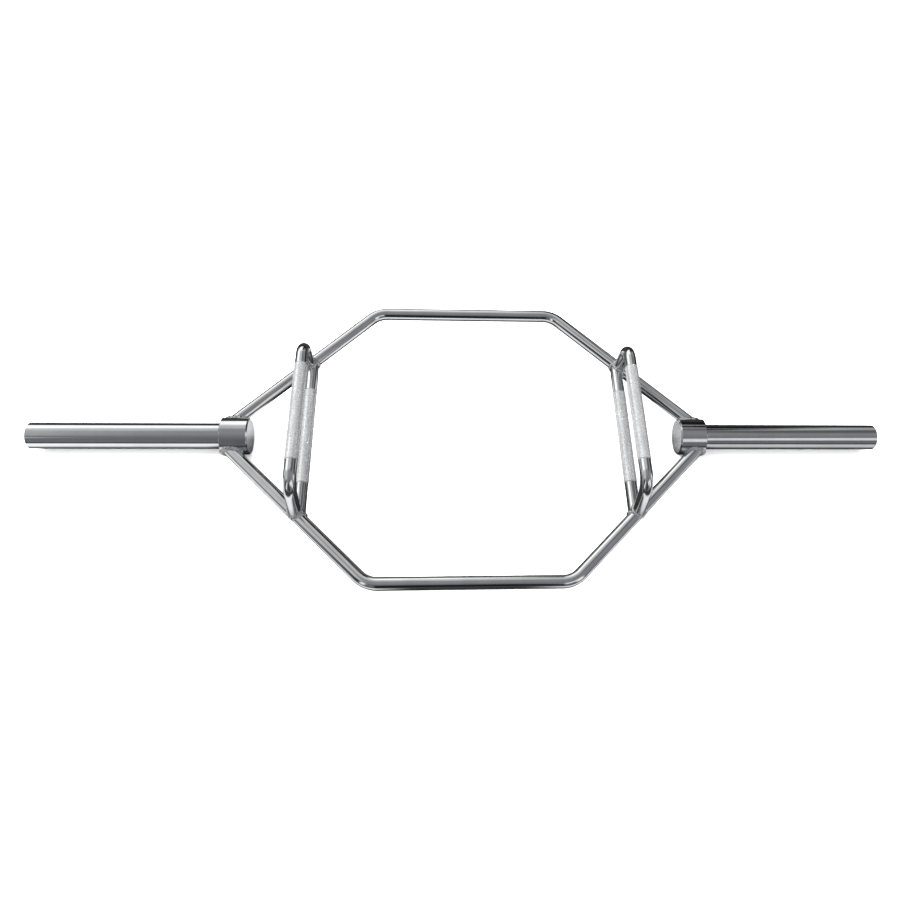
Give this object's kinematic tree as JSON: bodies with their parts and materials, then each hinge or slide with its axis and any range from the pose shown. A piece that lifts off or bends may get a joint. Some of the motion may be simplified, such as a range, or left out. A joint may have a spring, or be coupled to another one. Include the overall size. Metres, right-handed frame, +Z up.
{
  "type": "hex trap bar",
  "caption": "Chromed steel hexagonal trap bar with a plate sleeve at each end, low knurled grips level with the frame and raised knurled handles above them.",
  "frame": {"origin": "on the floor under the middle of the hexagon, with the collars standing on the floor", "axes": "+X along the sleeves to the right, +Y from the front bar to the rear bar, +Z up through the hexagon towards the raised handles"},
  "size_m": [1.67, 0.63, 0.1437],
  "materials": {
    "frame_chrome": "polished",
    "sleeve_chrome": "polished",
    "grip_chrome": "satin knurl with polished ends",
    "weld_chrome": "plated over rippled weld metal"
  },
  "bodies": {
    "root": {"front_frame_bar": "frame_chrome", "rear_frame_bar": "frame_chrome", "left_collar": "sleeve_chrome", "right_collar": "sleeve_chrome", "left_sleeve": "sleeve_chrome", "right_sleeve": "sleeve_chrome", "left_sleeve_plug": "sleeve_chrome", "right_sleeve_plug": "sleeve_chrome", "left_low_grip": "grip_chrome", "right_low_grip": "grip_chrome", "left_raised_handle": "grip_chrome", "right_raised_handle": "grip_chrome", "left_front_collar_weld": "weld_chrome", "left_rear_collar_weld": "weld_chrome", "right_front_collar_weld": "weld_chrome", "right_rear_collar_weld": "weld_chrome", "left_front_grip_weld": "weld_chrome", "left_rear_grip_weld": "weld_chrome", "right_front_grip_weld": "weld_chrome", "right_rear_grip_weld": "weld_chrome"}
  },
  "joints": []
}
